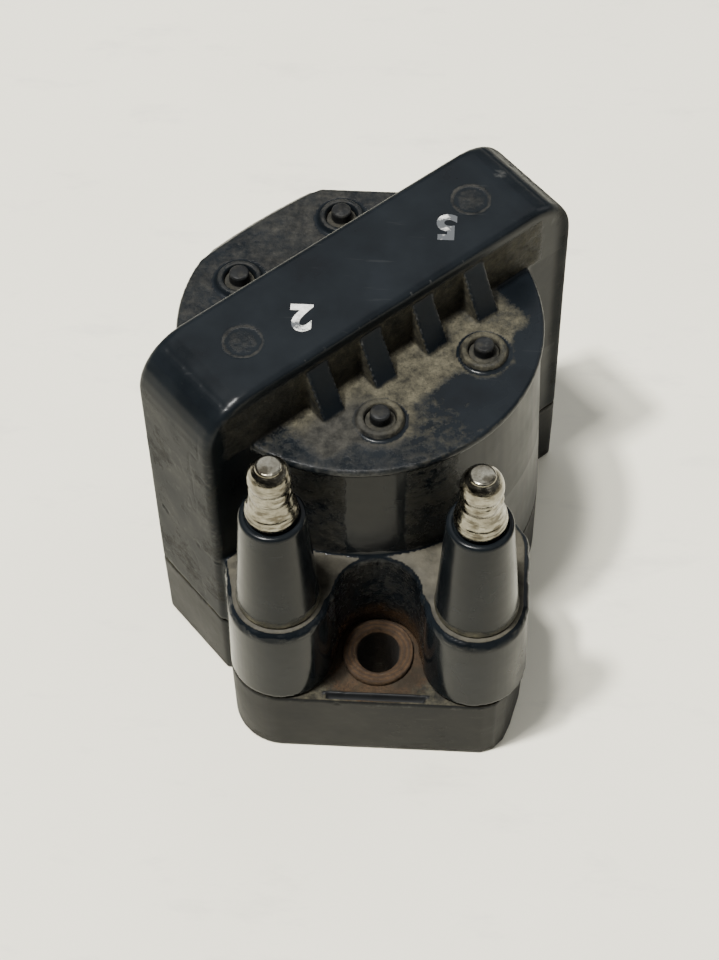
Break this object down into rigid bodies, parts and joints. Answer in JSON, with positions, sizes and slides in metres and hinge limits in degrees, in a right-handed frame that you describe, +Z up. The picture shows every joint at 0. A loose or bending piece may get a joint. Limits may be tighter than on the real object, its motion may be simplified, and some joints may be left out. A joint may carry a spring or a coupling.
{
  "type": "ignition coil",
  "caption": "Overmoulded ignition coil: diagonal closed core across a round winding housing, plug-lead towers with metal posts, steel-bushed fixing points in a shallow base tray.",
  "frame": {"origin": "middle of the overall box's bottom, on the plane that the base tray stands on", "axes": "+Z up out of the deck, -Y towards the side with the towers, +X to the right when facing the towers"},
  "size_m": [0.073, 0.0938, 0.0787],
  "materials": {
    "overmould_plastic": "satin blue-black, worn grey and soiled in places",
    "tray_plastic": "matte dark grey",
    "tower_plastic": "semi-gloss black",
    "post_plating": "bright nickel plate, worn",
    "bushing_steel": "turned steel, rusted",
    "pin_plastic": "smooth dark grey",
    "case_plastic": "black moulded",
    "potting_resin": "cured dark resin",
    "core_steel": "stacked silicon-steel sheet",
    "shim_paper": "pressed board",
    "bobbin_plastic": "natural glass-filled",
    "copper": "enamelled copper",
    "contact_brass": "tinned brass strip"
  },
  "bodies": {
    "root": {"housing": "overmould_plastic", "base_tray": "tray_plastic", "tower_left": "tower_plastic", "tower_right": "tower_plastic", "post_left": "post_plating", "post_right": "post_plating", "hv_lead_left": "copper", "hv_lead_right": "copper", "bushing_front": "bushing_steel", "bushing_rear": "bushing_steel", "support_pin_1": "pin_plastic", "support_pin_2": "pin_plastic", "support_pin_3": "pin_plastic", "support_pin_4": "pin_plastic", "coil_case": "case_plastic", "potting_closure": "potting_resin", "core_e": "core_steel", "core_i": "core_steel", "core_shim": "shim_paper", "primary_bobbin": "bobbin_plastic", "primary_winding": "copper", "secondary_bobbin": "bobbin_plastic", "secondary_section_1": "copper", "secondary_section_2": "copper", "secondary_section_3": "copper", "secondary_section_4": "copper", "secondary_section_5": "copper", "secondary_section_6": "copper", "terminal_positive": "contact_brass", "terminal_negative": "contact_brass"}
  },
  "joints": []
}
